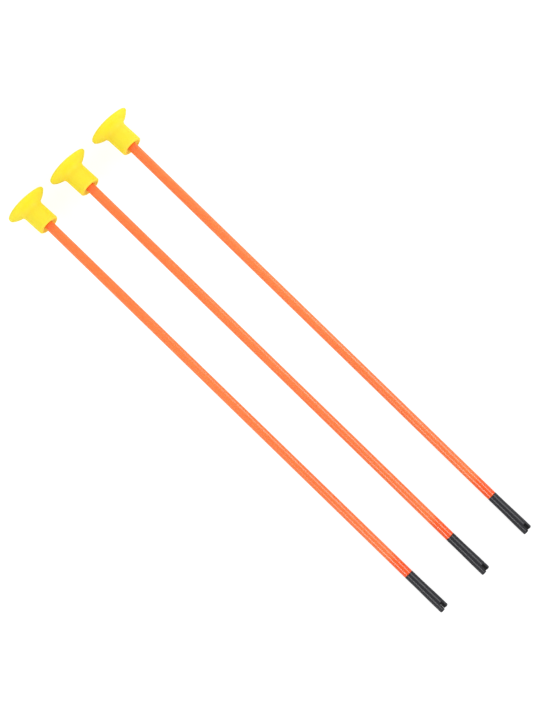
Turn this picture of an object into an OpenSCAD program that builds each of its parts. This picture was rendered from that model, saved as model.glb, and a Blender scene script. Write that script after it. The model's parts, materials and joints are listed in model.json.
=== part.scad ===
// Three suction-cup arrows for a toy bow, lying side by side on the floor.
// Each arrow is a soft cup pushed onto a hollow tube, with a string nock fixed in the tube's rear end.
// Sizes are in millimetres. +X runs from the cups to the nocks, +Y from arrow 3 to arrow 1, the floor is Z = 0.

/* [Suction cup] */
// Diameter of the cup's rim
cup_d = 33.6; // [30:0.2:40]
// Thickness of the lip at its outer edge
lip_t = 0.9; // [0.8:0.1:1.6]
// Width of the flat ring on the front of the lip, with its rounded edge
lip_land = 1.2; // [1:0.1:2]
// Radius on the lip's front outer edge
lip_round = 0.25; // [0.15:0.05:0.6]
// Height from the rim to where the bell's back reaches the socket, without its fillet
bell_h = 4.7; // [4.4:0.1:6.5]
// Radius of the bell's rounded back
bell_crown = 13.5; // [11:0.5:40]
// Fillet between the bell and the socket
neck_fillet = 4.5; // [2:0.25:5]
// Depth of the hollow that holds the vacuum
cavity_depth = 5.5; // [4.5:0.1:5.8]

/* [Socket on the cup] */
// Outside diameter of the socket
socket_d = 16.8; // [14:0.1:18]
// Length of the whole cup, from the rim to the socket's rear face
cup_len = 24; // [23:0.2:30]
// Radius on the socket's rear edge
socket_round = 1.4; // [0.4:0.1:2.4]
// Depth of the bore that the tube is pushed into
socket_depth = 14; // [13:0.2:17]
// Diameter of the bore's flared mouth
mouth_d = 8.4; // [7.8:0.1:10]
// Length of the flare
mouth_len = 2.5; // [1:0.1:5]

/* [Shaft tube] */
// Length of the tube
tube_len = 372; // [250:1:500]
// Outside diameter of the tube
tube_d = 7; // [6:0.1:7.2]
// Wall of the tube
tube_wall = 0.8; // [0.5:0.05:1.2]

/* [Nock] */
// Length of the nock behind the tube
nock_len = 34.8; // [30:0.2:45]
// Diameter of the nock where it meets the tube
nock_d = 7.1; // [7:0.05:7.4]
// Diameter of the nock at its string end
nock_end_d = 7.55; // [7.4:0.05:9]
// Distance from the tube to where the nock starts to widen
flare_start = 8; // [4:0.5:14]
// Distance from the tube to where it stops widening
flare_end = 29; // [18:0.5:29]
// Bevel on the nock's front edge
nock_bevel = 0.3; // [0.1:0.05:0.5]
// Radius on the prongs' outer ends
nock_round = 0.7; // [0.3:0.05:1]
// Width of the string slot
slot_w = 2.5; // [2:0.1:3.6]
// Depth of the string slot, to the bottom of its rounded floor
slot_depth = 5.5; // [4:0.1:9]
// Turn of the slot about the shaft, from prongs one above the other
nock_turn = 72; // [0:1:180]
// Length of the spigot inside the tube
spigot_len = 16; // [8:0.5:25]
// Bevel on the spigot's front end
spigot_bevel = 0.6; // [0.2:0.1:1]

/* [Fits] */
// Gap around the tube in the cup's bore
bore_gap = 0.05; // [0.02:0.01:0.1]
// Gap between the tube's front end and the floor of the bore
end_gap = 0.2; // [0.1:0.05:1]
// Gap around the spigot in the tube
spigot_gap = 0.02; // [0.01:0.01:0.1]

/* [Layout] */
// Distance between arrow 1 and arrow 2, at their middles
pitch_12 = 41.6; // [41:0.1:80]
// Distance between arrow 2 and arrow 3, at their middles
pitch_23 = 39.9; // [39.4:0.1:80]
// How far arrow 1 lies ahead of arrow 2
stagger_12 = 1.2; // [0:0.1:20]
// How far arrow 2 lies ahead of arrow 3
stagger_23 = 2.4; // [0:0.1:20]
// Turn of each outer arrow, in degrees, that brings its nock nearer to the middle arrow
fan = 0.2; // [0:0.05:0.6]

/* [Hidden] */
$fn = 96;
soft_yellow = [0.99, 0.85, 0.07];
clear_orange = [0.98, 0.42, 0.14];
black = [0.13, 0.13, 0.14];
// Steps in each drawn arc
steps = 14;

// Where things lie along an arrow, from the cup's rim
bore_floor = cup_len - socket_depth;
tube_start = bore_floor + end_gap;
nock_start = tube_start + tube_len;
arrow_len = nock_start + nock_len;

// Radii
rim_r = cup_d / 2;
socket_r = socket_d / 2;
bore_r = tube_d / 2 + bore_gap;
tube_ir = tube_d / 2 - tube_wall;
spigot_r = tube_ir - spigot_gap;
nock_r = nock_d / 2;
nock_end_r = nock_end_d / 2;

// The hollow is part of a sphere
cavity_edge = rim_r - lip_land;
cavity_r = (cavity_edge * cavity_edge + cavity_depth * cavity_depth) / (2 * cavity_depth);
cavity_c = [0, cavity_depth - cavity_r];
cavity_a = atan2(-cavity_c[1], cavity_edge);

// The bell's back is an arc from the lip to the socket, and the fillet touches both it and the socket
lip_back = [rim_r, lip_t];
neck = [socket_r, bell_h];
chord = norm(neck - lip_back);
outward = [neck[1] - lip_back[1], lip_back[0] - neck[0]] / chord;
crown_c = (lip_back + neck) / 2 - outward * sqrt(bell_crown * bell_crown - chord * chord / 4);
fillet_x = socket_r + neck_fillet;
fillet_h = sqrt(pow(bell_crown + neck_fillet, 2) - pow(fillet_x - crown_c[0], 2));
fillet_c = [fillet_x, crown_c[1] + fillet_h];
crown_a0 = atan2(lip_back[1] - crown_c[1], lip_back[0] - crown_c[0]);
crown_a1 = atan2(fillet_c[1] - crown_c[1], fillet_c[0] - crown_c[0]);

// An arrow rests on its rim and on one prong, so its shaft leans down to the nock
prong_a = acos(slot_w / nock_end_d);
prong_off = max(0, min(nock_turn, 180 - nock_turn) - prong_a);
rim_ring = rim_r - lip_round;
prong_ring = (nock_end_r - nock_round) * cos(prong_off);
drop = rim_ring - prong_ring;
span = arrow_len - nock_round - lip_round;
lean = atan2(drop, span) + asin((lip_round - nock_round) / norm([drop, span]));
axis_h = rim_ring * cos(lean) + lip_round + lip_round * sin(lean);

// The set is centred over the origin
front_x = lip_round * cos(lean) - rim_ring * sin(lean) - lip_round;
rear_x = (arrow_len - nock_round) * cos(lean) + (nock_end_r - nock_round) * sin(lean) + nock_round;
mid_x = (front_x + rear_x) / 2;
half_x = (stagger_12 + stagger_23) / 2;
half_y = (pitch_12 + pitch_23) / 2;
place_1 = [half_x, half_y];
place_2 = [half_x - stagger_12, half_y - pitch_12];
place_3 = [-half_x, -half_y];

// Points of an arc from angle a0 to angle a1
function arc(c, r, a0, a1) = [
    for (i = [0 : steps])
        let (a = a0 + (a1 - a0) * i / steps)
        c + r * [cos(a), sin(a)]
];

// Nock radius at a share s of its widening, smooth at both ends
function flare(s) = nock_r + (nock_end_r - nock_r) * s * s * (3 - 2 * s);

// Half of the cup's section, as radius and distance from the rim
function cup_section() = concat(
    [[0, bore_floor]],
    arc(cavity_c, cavity_r, 90, cavity_a),
    arc([rim_r - lip_round, lip_round], lip_round, -90, 0),
    arc(crown_c, bell_crown, crown_a0, crown_a1),
    arc(fillet_c, neck_fillet, 180 + crown_a1, 180),
    arc([socket_r - socket_round, cup_len - socket_round], socket_round, 0, 90),
    [[mouth_d / 2, cup_len]],
    [[bore_r, cup_len - mouth_len]],
    [[bore_r, bore_floor]]
);

// Half of the nock's section, as radius and distance behind the tube
function nock_section() = concat(
    [[0, -spigot_len]],
    [[spigot_r - spigot_bevel, -spigot_len]],
    [[spigot_r, spigot_bevel - spigot_len]],
    [[spigot_r, 0]],
    [[nock_r - nock_bevel, 0]],
    [[nock_r, nock_bevel]],
    [for (i = [0 : steps]) [flare(i / steps), flare_start + (flare_end - flare_start) * i / steps]],
    arc([nock_end_r - nock_round, nock_len - nock_round], nock_round, 0, 90),
    [[0, nock_len]]
);

// A half section turned about the shaft's line
module turned(section) {
    rotate([0, 90, 0])
        rotate_extrude()
            polygon(section);
}

// Sets an arrow down with its middle over a place on the floor, turned there, leaning from its rim to its nock
module laid(place, turn) {
    translate(place)
        rotate([0, 0, turn])
            translate([-mid_x, 0, axis_h])
                rotate([0, lean, 0])
                    children();
}

module cup_solid() {
    turned(cup_section());
}

module tube_solid() {
    translate([tube_start, 0, 0])
        rotate([0, 90, 0])
            difference() {
                cylinder(h = tube_len, r = tube_d / 2);
                translate([0, 0, -1])
                    cylinder(h = tube_len + 2, r = tube_ir);
            }
}

// The string slot has a rounded floor and runs right across the nock
module string_slot() {
    floor_x = nock_len - slot_depth + slot_w / 2;
    translate([floor_x, -nock_end_d, -slot_w / 2])
        cube([slot_depth, 2 * nock_end_d, slot_w]);
    translate([floor_x, nock_end_d, 0])
        rotate([90, 0, 0])
            cylinder(h = 2 * nock_end_d, r = slot_w / 2);
}

module nock_solid() {
    translate([nock_start, 0, 0])
        rotate([nock_turn, 0, 0])
            difference() {
                turned(nock_section());
                string_slot();
            }
}

module suction_cup_1() {
    color(soft_yellow) laid(place_1, -fan) cup_solid();
}

module shaft_tube_1() {
    color(clear_orange) laid(place_1, -fan) tube_solid();
}

module nock_1() {
    color(black) laid(place_1, -fan) nock_solid();
}

module suction_cup_2() {
    color(soft_yellow) laid(place_2, 0) cup_solid();
}

module shaft_tube_2() {
    color(clear_orange) laid(place_2, 0) tube_solid();
}

module nock_2() {
    color(black) laid(place_2, 0) nock_solid();
}

module suction_cup_3() {
    color(soft_yellow) laid(place_3, fan) cup_solid();
}

module shaft_tube_3() {
    color(clear_orange) laid(place_3, fan) tube_solid();
}

module nock_3() {
    color(black) laid(place_3, fan) nock_solid();
}

suction_cup_1();
shaft_tube_1();
nock_1();
suction_cup_2();
shaft_tube_2();
nock_2();
suction_cup_3();
shaft_tube_3();
nock_3();
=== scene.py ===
"""Three suction-cup arrows for a toy bow, laid side by side on a white floor.

Each arrow is a soft yellow cup with a socket, a hollow orange tube and a black nock with a string slot.
An arrow's own frame runs along its shaft: X goes from the cup's rim to the nock's end, and the shaft's line
is at Y = Z = 0. Left and right are as seen from the cups towards the nocks. Sizes are in metres.
"""

import json
import math

import bmesh
import bpy
from mathutils import Matrix, Vector


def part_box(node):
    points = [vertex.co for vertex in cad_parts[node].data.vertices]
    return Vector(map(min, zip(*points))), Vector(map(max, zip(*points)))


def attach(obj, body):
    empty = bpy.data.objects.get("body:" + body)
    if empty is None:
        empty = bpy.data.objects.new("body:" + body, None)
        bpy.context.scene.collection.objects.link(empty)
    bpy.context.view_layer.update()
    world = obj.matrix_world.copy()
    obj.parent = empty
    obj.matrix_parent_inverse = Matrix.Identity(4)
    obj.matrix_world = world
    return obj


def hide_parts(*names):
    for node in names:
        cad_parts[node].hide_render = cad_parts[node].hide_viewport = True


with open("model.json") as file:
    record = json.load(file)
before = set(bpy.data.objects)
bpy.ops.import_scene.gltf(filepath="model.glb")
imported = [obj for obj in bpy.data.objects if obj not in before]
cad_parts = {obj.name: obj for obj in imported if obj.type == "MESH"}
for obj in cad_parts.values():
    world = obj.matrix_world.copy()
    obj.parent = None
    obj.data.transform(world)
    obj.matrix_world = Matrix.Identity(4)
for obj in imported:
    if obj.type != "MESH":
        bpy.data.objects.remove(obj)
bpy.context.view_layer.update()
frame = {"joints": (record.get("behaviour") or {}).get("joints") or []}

MM = 0.001
ARROWS = (1, 2, 3)

# Suction cup and its socket
CUP_D = 33.6 * MM
LIP_T = 0.9 * MM
LIP_LAND = 1.2 * MM
LIP_ROUND = 0.25 * MM
BELL_H = 4.7 * MM
BELL_CROWN = 13.5 * MM
NECK_FILLET = 4.5 * MM
HOLLOW_DEPTH = 5.5 * MM
SOCKET_D = 16.8 * MM
CUP_LEN = 24.0 * MM
SOCKET_ROUND = 1.4 * MM
SOCKET_DEPTH = 14.0 * MM
MOUTH_D = 12.6 * MM
MOUTH_LEN = 1.7 * MM
MOUTH_EDGE = 0.25 * MM
BORE_GAP = 0.05 * MM
# The soft moulding is a little out of line with its bore, from a place behind its rear face
CUP_SKEW = math.radians(1.9)
CUP_SKEW_START = 4.0 * MM
# Its lip is thicker on one side, and on the other side longer and bent forward
LIP_UNEVEN = 0.35 * MM
LIP_LONGER = 0.35 * MM
LIP_BENT = 0.6 * MM
# Its rear face isn't quite square and lies a little forward, which fades out along the socket
REAR_SLANT = 0.05
REAR_SHORT = 0.4 * MM
REAR_FADE = 4.0 * MM

# Shaft tube
TUBE_LEN = 372.0 * MM
TUBE_D = 7.0 * MM
TUBE_WALL = 0.8 * MM
TUBE_EDGE = 0.12 * MM
END_GAP = 0.2 * MM

# Nock
NOCK_LEN = 34.8 * MM
NOCK_D = 7.1 * MM
NOCK_END_D = 7.55 * MM
FLARE_START = 8.0 * MM
FLARE_END = 29.0 * MM
NOCK_BEVEL = 0.3 * MM
NOCK_ROUND = 0.7 * MM
SLOT_W = 2.5 * MM
SLOT_DEPTH = 5.5 * MM
SLOT_EDGE = 0.15 * MM
NOCK_TURN = math.radians(68)
SPIGOT_LEN = 16.0 * MM
SPIGOT_BEVEL = 0.6 * MM
SPIGOT_GAP = 0.02 * MM
# The nock's body is a little out of line with its spigot, and its end isn't quite square
NOCK_SKEW = math.radians(0.45)
NOCK_END_SLANT = 0.12

# The cup's hollow is part of a sphere
HOLLOW_EDGE = CUP_D / 2 - LIP_LAND
HOLLOW_R = (HOLLOW_EDGE**2 + HOLLOW_DEPTH**2) / (2 * HOLLOW_DEPTH)
HOLLOW_MIDDLE = HOLLOW_DEPTH - HOLLOW_R

# Where things lie along an arrow, and where the slot's floor lies behind the tube
BORE_FLOOR = CUP_LEN - SOCKET_DEPTH
TUBE_START = BORE_FLOOR + END_GAP
NOCK_START = TUBE_START + TUBE_LEN
SPIGOT_FRONT = NOCK_START - SPIGOT_LEN
SLOT_FLOOR = NOCK_LEN - SLOT_DEPTH

# Fineness of the meshes
TURN_STEPS = 128
ARC_STEPS = 16
MOUTH_EDGE_STEPS = 5
SOCKET_RING_GAP = 1.5 * MM
BORE_RING_GAP = 3.0 * MM
TUBE_RING_GAP = 8.0 * MM
NOCK_RINGS = 40
PRONG_BACK_STEPS = 48
PRONG_CORNER_STEPS = 4
SLOT_FLOOR_STEPS = 10
PRONG_STEPS = 6
PRONG_END_STEPS = 8
SHARP_FROM = math.radians(40)
MERGE_WITHIN = 0.002 * MM

# Finishes: the attribute that keeps a surface's place on its arrow, the span of most noise, and its roughness
PLACE_NAME = "on_arrow"
NOISE_LOW = 0.3
NOISE_HIGH = 0.7
NOISE_ROUGHNESS = 0.55

# Camera: the tilt is from overhead towards the nocks
CAMERA_TILT = math.radians(6.68)
CAMERA_ROLL = math.radians(44.17)
CAMERA_DISTANCE = 1.046
CAMERA_LOOK = Vector((-0.00455, 0.0, 0.0))
CAMERA_NEAR = 0.01
IMAGE_LONG_SIDE = 720
FOCAL_PIXELS = 1450
SENSOR_MM = 36.0

# Floor: its white for the light it throws, its grey where it takes a shadow, and what lifts that to white
FLOOR_SIDE = 60.0
FLOOR_THROWN = 0.8
FLOOR_SHADED = 0.35
FLOOR_LIFT = 0.77

# Room: white walls up to one height, a greyer ceiling from another, and more light from the right
WALL_LEVEL = 1.0
WALL_TOP = math.radians(10)
CEILING_LEVEL = 0.65
CEILING_EDGE = math.radians(28)
RIGHT_SIDE_MORE = 0.27


def arrow_frame(number):
    """Matrix from an arrow's own frame to the set's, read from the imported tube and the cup's joint."""
    low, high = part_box(f"shaft_tube_{number}")
    tube_middle = (low + high) / 2
    joint = next(j for j in frame["joints"] if j["name"] == f"pull_off_cup_{number}")
    along = -Vector(joint["axis"]).normalized()
    side = Vector((0, 0, 1)).cross(along).normalized()
    up = along.cross(side)
    rim = tube_middle - along * (TUBE_START + TUBE_LEN / 2)
    turn = Matrix((along, side, up)).transposed()
    return Matrix.Translation(rim) @ turn.to_4x4()


def arc(centre, radius, start, end, steps=ARC_STEPS):
    """Points of an arc between two angles in degrees: 0 points away from the shaft, 90 along it.

    Each point is its distance along the shaft and its distance from the shaft's line.
    """
    points = []
    for i in range(steps + 1):
        a = math.radians(start + (end - start) * i / steps)
        points.append((centre[0] + radius * math.sin(a), centre[1] + radius * math.cos(a)))
    return points


def straight(a, b, gap):
    """Points from a to b, both included, no further apart than gap."""
    count = max(1, math.ceil(math.dist(a, b) / gap))
    return [(a[0] + (b[0] - a[0]) * i / count, a[1] + (b[1] - a[1]) * i / count) for i in range(count + 1)]


def angle_of(centre, point):
    """Angle of a point round a centre, in the degrees that arc() takes."""
    return math.degrees(math.atan2(point[0] - centre[0], point[1] - centre[1]))


def cup_section():
    """Half of the cup's section, from the middle of its hollow round to the floor of its bore."""
    rim_r = CUP_D / 2
    socket_r = SOCKET_D / 2
    bore_r = TUBE_D / 2 + BORE_GAP
    mouth_r = MOUTH_D / 2

    # The bell's back is an arc from the lip to the socket, and the fillet touches both it and the socket
    lip_back = Vector((LIP_T, rim_r))
    neck = Vector((BELL_H, socket_r))
    chord = neck - lip_back
    outward = Vector((-chord.y, chord.x)).normalized()
    crown_c = (lip_back + neck) / 2 - outward * math.sqrt(BELL_CROWN**2 - chord.length_squared / 4)
    fillet_r = socket_r + NECK_FILLET
    fillet_rise = math.sqrt((BELL_CROWN + NECK_FILLET) ** 2 - (fillet_r - crown_c.y) ** 2)
    fillet_c = Vector((crown_c.x + fillet_rise, fillet_r))

    hollow_c = (HOLLOW_MIDDLE, 0)
    points = arc(hollow_c, HOLLOW_R, 90, angle_of(hollow_c, (0, HOLLOW_EDGE)), 2 * ARC_STEPS)
    points += arc((LIP_ROUND, rim_r - LIP_ROUND), LIP_ROUND, -90, 0)
    points += arc(crown_c, BELL_CROWN, angle_of(crown_c, lip_back), angle_of(crown_c, fillet_c))
    points += arc(fillet_c, NECK_FILLET, angle_of(fillet_c, crown_c), -180)
    points += straight((fillet_c.x, socket_r), (CUP_LEN - SOCKET_ROUND, socket_r), SOCKET_RING_GAP)[1:-1]
    points += arc((CUP_LEN - SOCKET_ROUND, socket_r - SOCKET_ROUND), SOCKET_ROUND, 0, 90)
    points += arc((CUP_LEN - MOUTH_EDGE, mouth_r + MOUTH_EDGE), MOUTH_EDGE, 90, 180, MOUTH_EDGE_STEPS)
    points += straight((CUP_LEN - MOUTH_LEN, bore_r), (BORE_FLOOR, bore_r), BORE_RING_GAP)
    points += [(BORE_FLOOR, 0)]
    return points


def tube_section():
    """Closed section of the tube's wall, with its cut ends just broken."""
    outer = TUBE_D / 2
    inner = outer - TUBE_WALL
    front = TUBE_START
    rear = NOCK_START
    points = [(front, inner + TUBE_EDGE), (front, outer - TUBE_EDGE)]
    points += straight((front + TUBE_EDGE, outer), (rear - TUBE_EDGE, outer), TUBE_RING_GAP)
    points += [(rear, outer - TUBE_EDGE), (rear, inner + TUBE_EDGE)]
    points += straight((rear - TUBE_EDGE, inner), (front + TUBE_EDGE, inner), TUBE_RING_GAP)
    return points + points[:1]


def turning_tree():
    """Node tree that turns a half section about the shaft's line: the section's points give the rings."""
    tree = bpy.data.node_groups.new("turned_piece", "GeometryNodeTree")
    face = tree.interface
    face.new_socket("Section", in_out="INPUT", socket_type="NodeSocketGeometry")
    face.new_socket("Turn steps", in_out="INPUT", socket_type="NodeSocketInt")
    face.new_socket("Sharp from", in_out="INPUT", socket_type="NodeSocketFloat")
    face.new_socket("Finish", in_out="INPUT", socket_type="NodeSocketMaterial")
    face.new_socket("Piece", in_out="OUTPUT", socket_type="NodeSocketGeometry")

    def node(kind, **settings):
        """A new node with its settings."""
        made = tree.nodes.new(kind)
        for key, value in settings.items():
            setattr(made, key, value)
        return made

    def join(source, output, target, socket):
        """Links one node's output to another's socket."""
        tree.links.new(source.outputs[output], target.inputs[socket])

    def sums(operation, a, b=None):
        """A sum of one or two numbers or outputs, as its node and that node's output."""
        made = node("ShaderNodeMath", operation=operation)
        for socket, value in enumerate((a, b)):
            if isinstance(value, (int, float)):
                made.inputs[socket].default_value = value
            elif value is not None:
                join(*value, made, socket)
        return (made, 0)

    given = node("NodeGroupInput")
    result = node("NodeGroupOutput")

    # One row of the grid for each point of the section, one column for each step of the turn
    rings = node("GeometryNodeAttributeDomainSize", component="MESH")
    join(given, "Section", rings, "Geometry")
    grid = node("GeometryNodeMeshGrid")
    grid.inputs["Size X"].default_value = 1
    grid.inputs["Size Y"].default_value = 1
    join(rings, "Point Count", grid, "Vertices X")
    join(*sums("ADD", (given, "Turn steps"), 1), grid, "Vertices Y")

    place = node("GeometryNodeInputPosition")
    split = node("ShaderNodeSeparateXYZ")
    join(place, "Position", split, "Vector")
    last_ring = sums("SUBTRACT", (rings, "Point Count"), 1)
    ring = sums("ROUND", sums("MULTIPLY", sums("ADD", (split, "X"), 0.5), last_ring))
    angle = sums("MULTIPLY", sums("ADD", (split, "Y"), 0.5), 2 * math.pi)

    section_point = node("GeometryNodeSampleIndex", data_type="FLOAT_VECTOR", domain="POINT")
    join(given, "Section", section_point, "Geometry")
    join(place, "Position", section_point, "Value")
    join(*ring, section_point, "Index")
    section_split = node("ShaderNodeSeparateXYZ")
    join(section_point, "Value", section_split, "Vector")
    turned = node("ShaderNodeCombineXYZ")
    join(section_split, "X", turned, "X")
    join(*sums("MULTIPLY", (section_split, "Y"), sums("COSINE", angle)), turned, "Y")
    join(*sums("MULTIPLY", (section_split, "Y"), sums("SINE", angle)), turned, "Z")

    moved = node("GeometryNodeSetPosition")
    join(grid, "Mesh", moved, "Geometry")
    join(turned, "Vector", moved, "Position")
    closed = node("GeometryNodeMergeByDistance")
    closed.inputs["Distance"].default_value = MERGE_WITHIN
    join(moved, "Geometry", closed, "Geometry")

    # The place on the arrow stays with the surface, for the finishes
    kept = node("GeometryNodeStoreNamedAttribute", data_type="FLOAT_VECTOR", domain="POINT")
    kept.inputs["Name"].default_value = PLACE_NAME
    join(closed, "Geometry", kept, "Geometry")
    join(node("GeometryNodeInputPosition"), "Position", kept, "Value")

    flat_enough = node("FunctionNodeCompare", data_type="FLOAT", operation="LESS_THAN")
    join(node("GeometryNodeInputMeshEdgeAngle"), "Unsigned Angle", flat_enough, "A")
    join(given, "Sharp from", flat_enough, "B")
    smooth = node("GeometryNodeSetShadeSmooth", domain="EDGE")
    join(kept, "Geometry", smooth, "Geometry")
    join(flat_enough, "Result", smooth, "Shade Smooth")

    real = node("GeometryNodeRealizeInstances")
    join(smooth, "Geometry", real, "Geometry")
    finished = node("GeometryNodeSetMaterial")
    join(real, "Geometry", finished, "Geometry")
    join(given, "Finish", finished, "Material")
    join(finished, "Geometry", result, "Piece")
    return tree


def turned_piece(name, tree, section, finish):
    """A piece turned from its section, in the arrow's own frame, as a plain mesh."""
    points = bpy.data.meshes.new(name + "_section")
    points.from_pydata([(x, r, 0) for x, r in section], [], [])
    rough = bpy.data.objects.new(name + "_section", points)
    bpy.context.scene.collection.objects.link(rough)
    modifier = rough.modifiers.new("turn", "NODES")
    modifier.node_group = tree
    settings = {"Turn steps": TURN_STEPS, "Sharp from": SHARP_FROM, "Finish": finish}
    for socket in tree.interface.items_tree:
        if socket.in_out == "INPUT" and socket.name in settings:
            modifier[socket.identifier] = settings[socket.name]
    depsgraph = bpy.context.evaluated_depsgraph_get()
    mesh = bpy.data.meshes.new_from_object(rough.evaluated_get(depsgraph))
    rough.modifiers.remove(modifier)
    bpy.data.objects.remove(rough)
    bpy.data.meshes.remove(points)
    mesh.name = name
    face_out(mesh)
    return mesh


def face_out(mesh):
    """Turns every face of a closed mesh outwards."""
    form = bmesh.new()
    form.from_mesh(mesh)
    bmesh.ops.recalc_face_normals(form, faces=form.faces)
    form.to_mesh(mesh)
    form.free()


def nock_radius(x):
    """Radius of the nock's body at a distance behind the tube."""
    start, end = NOCK_D / 2, NOCK_END_D / 2
    if x < NOCK_BEVEL:
        return start - (NOCK_BEVEL - x)
    share = min(max((x - FLARE_START) / (FLARE_END - FLARE_START), 0), 1)
    radius = start + (end - start) * share**2 * (3 - 2 * share)
    over = x - (NOCK_LEN - NOCK_ROUND)
    if over > 0:
        radius += math.sqrt(max(NOCK_ROUND**2 - over**2, 0)) - NOCK_ROUND
    return radius


def slot_half_width(x):
    """Half the string slot's width at a distance behind the tube: none before its rounded floor."""
    half = SLOT_W / 2
    over = x - SLOT_FLOOR
    if over >= half:
        return half
    return math.sqrt(max(half**2 - (half - over) ** 2, 0))


def nock_section():
    """Half of the nock's section up to the slot's floor: spigot, shoulder, bevel and the slow flare.

    Each point is its distance behind the tube and its radius.
    """
    spigot_r = TUBE_D / 2 - TUBE_WALL - SPIGOT_GAP
    points = [(-SPIGOT_LEN, spigot_r - SPIGOT_BEVEL), (SPIGOT_BEVEL - SPIGOT_LEN, spigot_r)]
    points += [(0, spigot_r), (0, nock_radius(0)), (NOCK_BEVEL, nock_radius(NOCK_BEVEL))]
    for i in range(NOCK_RINGS + 1):
        x = FLARE_START + (SLOT_FLOOR - FLARE_START) * i / NOCK_RINGS
        points.append((x, nock_radius(x)))
    return points


def prong_stations():
    """Distances behind the tube of a prong's outlines, closer where the floor and the ends are round."""
    half = SLOT_W / 2
    walls_end = NOCK_LEN - NOCK_ROUND
    stations = []
    for i in range(1, SLOT_FLOOR_STEPS + 1):
        stations.append(SLOT_FLOOR + half * (1 - math.cos(math.pi / 2 * i / SLOT_FLOOR_STEPS)))
    walls_start = stations[-1]
    for i in range(1, PRONG_STEPS + 1):
        stations.append(walls_start + (walls_end - walls_start) * i / PRONG_STEPS)
    for i in range(1, PRONG_END_STEPS + 1):
        stations.append(walls_end + NOCK_ROUND * math.sin(math.pi / 2 * i / PRONG_END_STEPS))
    return stations


def prong_loop(x):
    """Outline of one prong across the shaft: its round back, then its flat wall, with rounded corners.

    Each point is its distance towards the prong and its distance along the slot.
    """
    radius = nock_radius(x)
    # The slot's edge is rounded where it opens at the prong's end
    over = max(x - (NOCK_LEN - SLOT_EDGE), 0)
    widened = SLOT_EDGE - math.sqrt(max(SLOT_EDGE**2 - over**2, 0))
    wall = slot_half_width(x) + widened
    corner = min(SLOT_EDGE, 0.5 * slot_half_width(x))
    middle_r = radius - corner
    middle_a = math.acos(min((wall + corner) / middle_r, 1))
    back = []
    for i in range(PRONG_BACK_STEPS + 1):
        a = middle_a * (2 * i / PRONG_BACK_STEPS - 1)
        back.append((radius * math.cos(a), radius * math.sin(a)))
    centre = (middle_r * math.cos(middle_a), middle_r * math.sin(middle_a))
    upper = []
    for i in range(1, PRONG_CORNER_STEPS + 1):
        a = middle_a + (math.pi - middle_a) * i / PRONG_CORNER_STEPS
        upper.append((centre[0] + corner * math.cos(a), centre[1] + corner * math.sin(a)))
    lower = [(p, -s) for p, s in reversed(upper)]
    wall_top = upper[-1][1]
    flat = [(wall, wall_top * (1 - 2 * i / PRONG_BACK_STEPS)) for i in range(1, PRONG_BACK_STEPS)]
    return back + upper + flat + lower


def nock_mesh(name, finish):
    """The nock: a turned body with its spigot, and two prongs lofted from the slot's floor to their ends."""
    form = bmesh.new()

    def vertex(x, p, s):
        """A point of the nock, turned to where its slot points."""
        y = -p * math.sin(NOCK_TURN) + s * math.cos(NOCK_TURN)
        z = p * math.cos(NOCK_TURN) + s * math.sin(NOCK_TURN)
        return form.verts.new((NOCK_START + x, y, z))

    def loft(first, second):
        """A band of faces between two closed outlines."""
        for i in range(len(first)):
            j = (i + 1) % len(first)
            form.faces.new((first[i], first[j], second[j], second[i]))

    top = None
    for x, radius in nock_section():
        angles = [math.pi / 2 * (2 * i / PRONG_BACK_STEPS - 1) for i in range(2 * PRONG_BACK_STEPS)]
        ring = [vertex(x, radius * math.cos(a), radius * math.sin(a)) for a in angles]
        if top:
            loft(top, ring)
        else:
            form.faces.new(ring)
        top = ring

    # Each prong grows from one half of the body's last ring
    halves = ((1, top[:PRONG_BACK_STEPS + 1]), (-1, top[PRONG_BACK_STEPS:] + top[:1]))
    for turned, half_ring in halves:
        end = None
        for x in prong_stations():
            loop = [vertex(x, turned * p, turned * s) for p, s in prong_loop(x)]
            if end:
                loft(end, loop)
            else:
                start_prong(form, half_ring, loop)
            end = loop
        bmesh.ops.poke(form, faces=[form.faces.new(end)])
    bmesh.ops.remove_doubles(form, verts=form.verts, dist=MERGE_WITHIN)
    bmesh.ops.recalc_face_normals(form, faces=form.faces)
    mesh = bpy.data.meshes.new(name)
    form.to_mesh(mesh)
    form.free()
    finish_mesh(mesh, finish)
    return mesh


def start_prong(form, half_ring, loop):
    """Joins a prong's first outline to the half of the body's last ring that it grows from."""
    for i in range(PRONG_BACK_STEPS):
        form.faces.new((half_ring[i], half_ring[i + 1], loop[i + 1], loop[i]))
    # The wall and its corners meet the slot's floor line, which runs between the half ring's two ends
    wall = loop[PRONG_BACK_STEPS:] + loop[:1]
    first, last = half_ring[-1], half_ring[0]
    across = wall[-1].co - wall[0].co
    floor_line = [first]
    for v in wall[1:-1]:
        share = (v.co - wall[0].co).dot(across) / across.length_squared
        floor_line.append(form.verts.new(first.co.lerp(last.co, share)))
    floor_line.append(last)
    for i in range(len(wall) - 1):
        form.faces.new((wall[i], wall[i + 1], floor_line[i + 1], floor_line[i]))


def finish_mesh(mesh, finish):
    """Smooth shading with sharp corners, the place on the arrow for the finishes, and the material."""
    mesh.materials.append(finish)
    places = mesh.attributes.new(PLACE_NAME, "FLOAT_VECTOR", "POINT")
    for v in mesh.vertices:
        places.data[v.index].vector = v.co
    mesh.shade_smooth()
    mesh.set_sharp_from_angle(angle=SHARP_FROM)


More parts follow.
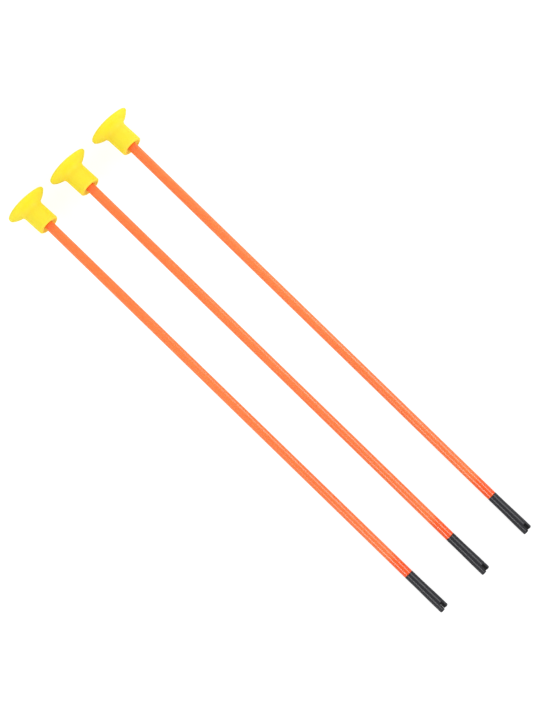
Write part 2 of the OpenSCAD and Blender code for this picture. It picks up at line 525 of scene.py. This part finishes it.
def put_cup_out_of_line(mesh):
    """Makes the lip uneven, slants the rear face, and shifts the cup sideways, more towards its rim.

    The bore stays in line with the tube.
    """
    rim_r = CUP_D / 2
    facing = [v.normal.x for v in mesh.vertices]
    for v, faces_back in zip(mesh.vertices, facing):
        from_line = math.hypot(v.co.y, v.co.z)
        near_rear = max(v.co.x - (CUP_LEN - REAR_FADE), 0) / REAR_FADE
        in_bore = v.co.x > BORE_FLOOR - MOUTH_EDGE and from_line < MOUTH_D / 2 + MOUTH_EDGE
        if not in_bore:
            # What is uneven in the lip fades quickly towards the middle
            thicker = -LIP_UNEVEN * v.co.y / rim_r * (from_line / rim_r) ** 2
            far_side = (max(v.co.y, 0) / rim_r) ** 4
            shift = math.tan(CUP_SKEW) * (CUP_LEN + CUP_SKEW_START - v.co.x)
            v.co.x += thicker * faces_back - LIP_BENT * far_side
            v.co.y += LIP_LONGER * far_side - shift
        v.co.x -= near_rear * (REAR_SHORT + REAR_SLANT * v.co.z)


def put_nock_out_of_line(mesh):
    """Makes one prong a little longer, and shifts the nock's body sideways, more towards its prongs.

    The spigot stays in line with the tube.
    """
    for v in mesh.vertices:
        behind = v.co.x - NOCK_START
        v.co.x -= NOCK_END_SLANT * v.co.y * max(behind - SLOT_FLOOR, 0) / SLOT_DEPTH
        v.co.y += math.tan(NOCK_SKEW) * max(behind, 0)


def set_down(name, mesh, matrix, body, node):
    """Puts a finished mesh in its place on the floor as the piece that stands for a solid."""
    mesh.transform(matrix)
    piece = bpy.data.objects.new(name, mesh)
    bpy.context.scene.collection.objects.link(piece)
    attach(piece, body)
    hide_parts(node)


class Finish:
    """A procedural material that is built up round one shader."""

    def __init__(self, name):
        self.material = bpy.data.materials.new(name)
        self.material.use_nodes = True
        self.nodes = self.material.node_tree.nodes
        self.links = self.material.node_tree.links
        self.shader = self.nodes["Principled BSDF"]

    def set(self, **sockets):
        """Sets what is the same all over the surface."""
        for name, value in sockets.items():
            self.shader.inputs[name.replace("_", " ")].default_value = value

    def layers(self, socket, first, *over):
        """Feeds a socket with a first value and with others over it, each given with its area."""
        value = first
        for area, other in over:
            value = self.mix(area, value, other)
        self.links.new(value, self.shader.inputs[socket])

    def bump(self, height, distance, strength):
        """Raises the surface by a height, in looks alone."""
        made = self.node("ShaderNodeBump")
        made.inputs["Strength"].default_value = strength
        made.inputs["Distance"].default_value = distance
        self.links.new(height, made.inputs["Height"])
        self.links.new(made.outputs["Normal"], self.shader.inputs["Normal"])

    def node(self, kind, **settings):
        """A new node with its settings."""
        made = self.nodes.new(kind)
        for key, value in settings.items():
            setattr(made, key, value)
        return made

    def place(self, scale=(1, 1, 1)):
        """The place on the arrow, in metres, with each axis scaled."""
        kept = self.node("ShaderNodeAttribute", attribute_name=PLACE_NAME, attribute_type="GEOMETRY")
        mapping = self.node("ShaderNodeMapping")
        mapping.inputs["Scale"].default_value = scale
        self.links.new(kept.outputs["Vector"], mapping.inputs["Vector"])
        return mapping.outputs["Vector"]

    def along(self, start, end):
        """0 at start and short of it, 1 at end and past it, smooth between, along the shaft either way."""
        split = self.node("ShaderNodeSeparateXYZ")
        self.links.new(self.place(), split.inputs["Vector"])
        return self.spread(split.outputs["X"], 0, 1, start, end, "SMOOTHSTEP")

    def across(self, direction, near, far):
        """1 up to near, 0 from far, by the distance on either side of the shaft's line in a direction."""
        reach = self.node("ShaderNodeVectorMath", operation="DOT_PRODUCT")
        reach.inputs[1].default_value = direction
        self.links.new(self.place(), reach.inputs[0])
        size = self.node("ShaderNodeMath", operation="ABSOLUTE")
        self.links.new(reach.outputs["Value"], size.inputs[0])
        return self.spread(size.outputs["Value"], 1, 0, near, far)

    def from_line(self, near, far):
        """1 up to near, 0 from far, by the distance from the shaft's line."""
        size = self.node("ShaderNodeVectorMath", operation="LENGTH")
        self.links.new(self.place((0, 1, 1)), size.inputs[0])
        return self.spread(size.outputs["Value"], 1, 0, near, far)

    def from_point(self, point, near, far):
        """1 up to near, 0 from far, by the distance from a point in the arrow's frame."""
        size = self.node("ShaderNodeVectorMath", operation="DISTANCE")
        size.inputs[1].default_value = point
        self.links.new(self.place(), size.inputs[0])
        return self.spread(size.outputs["Value"], 1, 0, near, far)

    def edge_on(self, start, end):
        """0 where the surface faces the eye, 1 where it is seen edge-on, for the gloss."""
        weight = self.node("ShaderNodeLayerWeight")
        weight.inputs["Blend"].default_value = 0.5
        return self.spread(weight.outputs["Facing"], 0, 1, start, end)

    def both(self, a, b):
        """The share that is in one area and also in the other."""
        made = self.node("ShaderNodeMath", operation="MULTIPLY")
        self.links.new(a, made.inputs[0])
        self.links.new(b, made.inputs[1])
        return made.outputs["Value"]

    def noise(self, size, detail=3, stretch=(1, 1, 1)):
        """Noise with features of about that size in metres."""
        made = self.node("ShaderNodeTexNoise")
        made.inputs["Scale"].default_value = 1 / size
        made.inputs["Detail"].default_value = detail
        made.inputs["Roughness"].default_value = NOISE_ROUGHNESS
        self.links.new(self.place(stretch), made.inputs["Vector"])
        return made.outputs["Fac"]

    def spread(self, value, low, high, low_in=NOISE_LOW, high_in=NOISE_HIGH, interpolation="LINEAR"):
        """Maps a value from a span, that of noise if none is given, to low and high."""
        span = self.node("ShaderNodeMapRange", interpolation_type=interpolation)
        span.inputs["From Min"].default_value = low_in
        span.inputs["From Max"].default_value = high_in
        span.inputs["To Min"].default_value = low
        span.inputs["To Max"].default_value = high
        self.links.new(value, span.inputs["Value"])
        return span.outputs["Result"]

    def mix(self, factor, a, b):
        """Mixes two colours or colour outputs."""
        made = self.node("ShaderNodeMix", data_type="RGBA")
        # The node has sockets for other kinds of value too: these are the factor and the two colours
        for socket, value in zip((0, 6, 7), (factor, a, b)):
            if isinstance(value, bpy.types.NodeSocket):
                self.links.new(value, made.inputs[socket])
            else:
                made.inputs[socket].default_value = value
        return made.outputs[2]


def linear(red, green, blue):
    """A colour as read from a picture, in 0 to 255, as the shader takes it."""
    def one(c):
        """One of the three."""
        c /= 255
        return c / 12.92 if c <= 0.04045 else ((c + 0.055) / 1.055) ** 2.4
    return (one(red), one(green), one(blue), 1)


def grey(level):
    """A level from 0 to 1 as a colour."""
    return (level, level, level, 1)


def soft_yellow():
    """Soft rubbery moulding: satin, smoother in its hollow, its thin lip lets a little light through, and
    light and shade are painted into its colour.
    """
    finish = Finish("soft_yellow_moulding")
    body = linear(246, 227, 50)
    # Painted shade: the neck is darker, for the shade in the fillet where the socket meets the bell
    neck = linear(246, 219, 50)
    # Painted light: the bell and the thin lip are more lemon in tone, for light falling on and through them
    bell = linear(246, 230, 42)
    lip = linear(243, 228, 51)
    cloud = linear(243, 222, 46)
    painted_orange_bounce = linear(255, 218, 74)
    hollow_shade = linear(236, 192, 20)

    on_socket = finish.along(8 * MM, 14 * MM)
    on_bell = finish.along(6.5 * MM, 3.5 * MM)
    on_lip = finish.along(2 * MM, 0.5 * MM)
    clouds = finish.spread(finish.noise(7 * MM), 0, 0.5)
    # Painted light round the tube at the socket's mouth: a painted orange reflection of the tube, and lighter
    # where the mouth is in shade
    at_mouth = finish.along(CUP_LEN - 3.5 * MM, CUP_LEN - 0.5 * MM)
    mouth_bounce_area = finish.both(at_mouth, finish.from_line(TUBE_D / 2, SOCKET_D / 2 + 2.5 * MM))
    hollow = finish.from_point((HOLLOW_MIDDLE, 0, 0), HOLLOW_R + 0.1 * MM, HOLLOW_R + 0.3 * MM)
    # Painted shade: the hollow's colour deepens towards its middle, as shade in a recess
    mid_hollow = finish.both(hollow, finish.from_line(1 * MM, 14 * MM))
    finish.layers("Base Color", neck, (on_socket, body), (on_bell, bell), (on_lip, lip), (clouds, cloud),
                  (mouth_bounce_area, painted_orange_bounce), (mid_hollow, hollow_shade))

    satin = finish.spread(finish.noise(1.8 * MM, 4), 0.42, 0.54)
    smoother = grey(0.2)
    dull = grey(0.8)
    finish.layers("Roughness", satin, (hollow, smoother), (finish.edge_on(0.4, 0.9), dull))
    finish.bump(finish.noise(0.35 * MM), distance=0.02 * MM, strength=0.35)
    finish.set(Subsurface_Weight=0.25, Subsurface_Radius=(1.0, 0.75, 0.15), Subsurface_Scale=1.6 * MM,
               IOR=1.48, Specular_IOR_Level=0.3)
    return finish.material


def clear_orange():
    """Extruded translucent tube: finely lined along, deeper in colour over the spigot, with shade painted in
    at the cup and towards the nock.
    """
    finish = Finish("clear_orange_tube")
    body = linear(253, 130, 63)
    streak = linear(251, 124, 57)
    painted_rear_shade = linear(240, 115, 49)
    shade_by_cup = linear(249, 114, 53)
    mouth_shadow = linear(228, 97, 32)
    filled = linear(238, 92, 18)
    deepest = linear(235, 80, 2)

    lines = finish.noise(0.5 * MM, 4, stretch=(0.012, 1, 1))
    streaks = finish.spread(lines, 0, 1)
    # Painted shade: the tube is darker towards the nock, for less light there
    towards_nock = finish.along(150 * MM, 330 * MM)
    # Painted shade: deeper orange near the cup's mouth, where the socket shades the tube
    near_cup = finish.along(CUP_LEN + 7 * MM, CUP_LEN)
    # Painted shadow: darkest where the tube goes into the socket's mouth, and all along its part inside the
    # cup
    in_cup = finish.along(CUP_LEN - 0.2 * MM, CUP_LEN - MOUTH_LEN)
    over_spigot = finish.along(SPIGOT_FRONT - 4 * MM, SPIGOT_FRONT + 3 * MM)
    up_to_nock = finish.along(SPIGOT_FRONT, NOCK_START)
    finish.layers("Base Color", body, (streaks, streak), (towards_nock, painted_rear_shade), (near_cup, shade_by_cup),
                  (in_cup, mouth_shadow), (over_spigot, filled), (up_to_nock, deepest))

    gloss = finish.spread(finish.noise(0.8 * MM, stretch=(0.05, 1, 1)), 0.24, 0.3)
    stretched = grey(0.2)
    dull = grey(0.9)
    where_stretched = finish.along(SPIGOT_FRONT - 2 * MM, SPIGOT_FRONT + 2 * MM)
    finish.layers("Roughness", gloss, (where_stretched, stretched), (finish.edge_on(0.3, 0.7), dull))
    finish.bump(lines, distance=0.012 * MM, strength=0.3)
    finish.set(Subsurface_Weight=0.3, Subsurface_Radius=(1.0, 0.3, 0.12), Subsurface_Scale=1.2 * MM, IOR=1.5)
    return finish.material


def black_nock():
    """Black moulding with a satin surface, faintly lined along its length, and matt and painted darker as
    shade in the string slot.
    """
    finish = Finish("black_nock_moulding")
    body = linear(31, 31, 36)
    worn = linear(38, 38, 43)
    slot_shade = linear(25, 25, 29)

    streaks = finish.spread(finish.noise(0.7 * MM, 4, stretch=(0.06, 1, 1)), 0, 1)
    # Painted shade: the string slot's inside is darker, as well as matt
    over_slot = (0, -math.sin(NOCK_TURN), math.cos(NOCK_TURN))
    between_walls = finish.across(over_slot, SLOT_W / 2, SLOT_W / 2 + SLOT_EDGE)
    past_floor = finish.along(NOCK_START + SLOT_FLOOR - SLOT_EDGE, NOCK_START + SLOT_FLOOR)
    slot = finish.both(between_walls, past_floor)
    finish.layers("Base Color", body, (streaks, worn), (slot, slot_shade))

    satin = finish.spread(finish.noise(1.1 * MM, 4), 0.22, 0.3)
    matt = grey(0.8)
    finish.layers("Roughness", satin, (slot, matt), (finish.edge_on(0.3, 0.7), matt))
    finish.bump(finish.noise(0.25 * MM), distance=0.015 * MM, strength=0.3)
    finish.set(IOR=1.5, Specular_IOR_Level=0.28)
    return finish.material


def build_arrows():
    """Makes the three pieces of each arrow and puts them in their places."""
    tree = turning_tree()
    yellow, orange, black = soft_yellow(), clear_orange(), black_nock()
    for number in ARROWS:
        matrix = arrow_frame(number)
        cup = turned_piece(f"cup_moulding_{number}", tree, cup_section(), yellow)
        tube = turned_piece(f"tube_{number}", tree, tube_section(), orange)
        nock = nock_mesh(f"nock_moulding_{number}", black)
        put_cup_out_of_line(cup)
        put_nock_out_of_line(nock)
        set_down(cup.name, cup, matrix, f"cup_{number}", f"suction_cup_{number}")
        set_down(tube.name, tube, matrix, f"arrow_{number}", f"shaft_tube_{number}")
        set_down(nock.name, nock, matrix, f"arrow_{number}", f"nock_{number}")
    bpy.data.node_groups.remove(tree)


def seen_apart(tree, output, thrown, seen):
    """Feeds an output with one shader for the light it throws, and another for what is seen of it.

    It is seen by the camera straight, mirrored or through a clear surface.
    """
    nodes, links = tree.nodes, tree.links
    path = nodes.new("ShaderNodeLightPath")
    looked_at = path.outputs["Is Camera Ray"]
    for ray in ("Is Glossy Ray", "Is Transmission Ray"):
        either = nodes.new("ShaderNodeMath")
        either.operation = "MAXIMUM"
        links.new(looked_at, either.inputs[0])
        links.new(path.outputs[ray], either.inputs[1])
        looked_at = either.outputs["Value"]
    chosen = nodes.new("ShaderNodeMixShader")
    links.new(looked_at, chosen.inputs["Fac"])
    links.new(thrown, chosen.inputs[1])
    links.new(seen, chosen.inputs[2])
    links.new(chosen.outputs["Shader"], nodes[output].inputs["Surface"])


def build_floor():
    """A plain white floor that keeps a soft shadow."""
    half = FLOOR_SIDE / 2
    corners = [(-half, -half, 0), (half, -half, 0), (half, half, 0), (-half, half, 0)]
    mesh = bpy.data.meshes.new("floor")
    mesh.from_pydata(corners, [], [(0, 1, 2, 3)])
    floor = bpy.data.objects.new("floor", mesh)
    bpy.context.scene.collection.objects.link(floor)
    material = bpy.data.materials.new("white_floor")
    material.use_nodes = True
    nodes, links = material.node_tree.nodes, material.node_tree.links
    nodes.remove(nodes["Principled BSDF"])

    # What the floor throws on the arrows is plain white, and what is seen of it is lifted to white
    thrown = nodes.new("ShaderNodeBsdfDiffuse")
    thrown.inputs["Color"].default_value = grey(FLOOR_THROWN)
    shaded = nodes.new("ShaderNodeBsdfDiffuse")
    shaded.inputs["Color"].default_value = grey(FLOOR_SHADED)
    lift = nodes.new("ShaderNodeEmission")
    lift.inputs["Strength"].default_value = FLOOR_LIFT
    seen = nodes.new("ShaderNodeAddShader")
    links.new(shaded.outputs["BSDF"], seen.inputs[0])
    links.new(lift.outputs["Emission"], seen.inputs[1])
    seen_apart(material.node_tree, "Material Output", thrown.outputs["BSDF"], seen.outputs["Shader"])
    mesh.materials.append(material)


def soft_box(name, place, aim, width, length, brightness, along=(1, 0, 0)):
    """A soft box at a place, facing a point, with its long side along a direction, the shafts' by default.

    Brightness is that of its face.
    """
    lamp = bpy.data.lights.new(name, "AREA")
    lamp.shape = "RECTANGLE"
    lamp.size = length
    lamp.size_y = width
    lamp.energy = brightness * width * length * math.pi
    box = bpy.data.objects.new(name, lamp)
    back = (Vector(place) - Vector(aim)).normalized()
    side = Vector(along)
    side = (side - back * side.dot(back)).normalized()
    up = back.cross(side)
    box.matrix_world = Matrix.Translation(place) @ Matrix((side, up, back)).transposed().to_4x4()
    bpy.context.scene.collection.objects.link(box)


def build_light():
    """Soft studio light: a white room, and two soft boxes that draw the light lines on the tubes."""
    world = bpy.data.worlds.new("white_room")
    bpy.context.scene.world = world
    world.use_nodes = True
    nodes, links = world.node_tree.nodes, world.node_tree.links
    direction = nodes.new("ShaderNodeTexCoord")
    split = nodes.new("ShaderNodeSeparateXYZ")
    links.new(direction.outputs["Generated"], split.inputs["Vector"])

    def level(axis, start, end, low, high):
        """A level that goes from low to high between two places on one axis of the direction."""
        span = nodes.new("ShaderNodeMapRange")
        values = {"From Min": start, "From Max": end, "To Min": low, "To Max": high}
        for socket, value in values.items():
            span.inputs[socket].default_value = value
        links.new(split.outputs[axis], span.inputs["Value"])
        return span.outputs["Result"]

    # The room throws more light from its right side than is seen there
    room = level("Z", math.sin(WALL_TOP), math.sin(CEILING_EDGE), WALL_LEVEL, CEILING_LEVEL)
    more = nodes.new("ShaderNodeMath")
    more.operation = "ADD"
    links.new(room, more.inputs[0])
    links.new(level("Y", 0, -1, 0, RIGHT_SIDE_MORE), more.inputs[1])
    thrown = nodes["Background"]
    seen = nodes.new("ShaderNodeBackground")
    for background, strength in ((thrown, more.outputs["Value"]), (seen, room)):
        background.inputs["Color"].default_value = grey(1)
        links.new(strength, background.inputs["Strength"])
    seen_apart(world.node_tree, "World Output", thrown.outputs["Background"], seen.outputs["Background"])

    soft_box("left_strip", place=(0.16, 0.726, 0.651), aim=(0.16, 0, 0), width=0.35, length=0.76,
             brightness=5.6, along=(0.46, -0.27, 0.33))
    soft_box("right_strip", place=(0.245, -0.70, 0.72), aim=(0.245, 0, 0), width=0.3, length=0.23,
             brightness=10.8)


def build_camera():
    """The photographer's place: nearly overhead, rolled so that the shafts run down to the right."""
    camera = bpy.data.cameras.new("camera")
    camera.sensor_fit = "AUTO"
    camera.sensor_width = SENSOR_MM
    camera.lens = FOCAL_PIXELS * SENSOR_MM / IMAGE_LONG_SIDE
    camera.clip_start = CAMERA_NEAR
    holder = bpy.data.objects.new("camera", camera)
    bpy.context.scene.collection.objects.link(holder)
    back = Vector((math.sin(CAMERA_TILT), 0, math.cos(CAMERA_TILT)))
    shafts = Vector((math.cos(CAMERA_TILT), 0, -math.sin(CAMERA_TILT)))
    across = Vector((0, 1, 0))
    right = shafts * math.cos(CAMERA_ROLL) + across * math.sin(CAMERA_ROLL)
    up = back.cross(right)
    turn = Matrix((right, up, back)).transposed().to_4x4()
    holder.matrix_world = Matrix.Translation(CAMERA_LOOK + back * CAMERA_DISTANCE) @ turn
    bpy.context.scene.camera = holder


build_camera()
build_floor()
build_light()
build_arrows()
bpy.context.scene.view_settings.view_transform = "Standard"
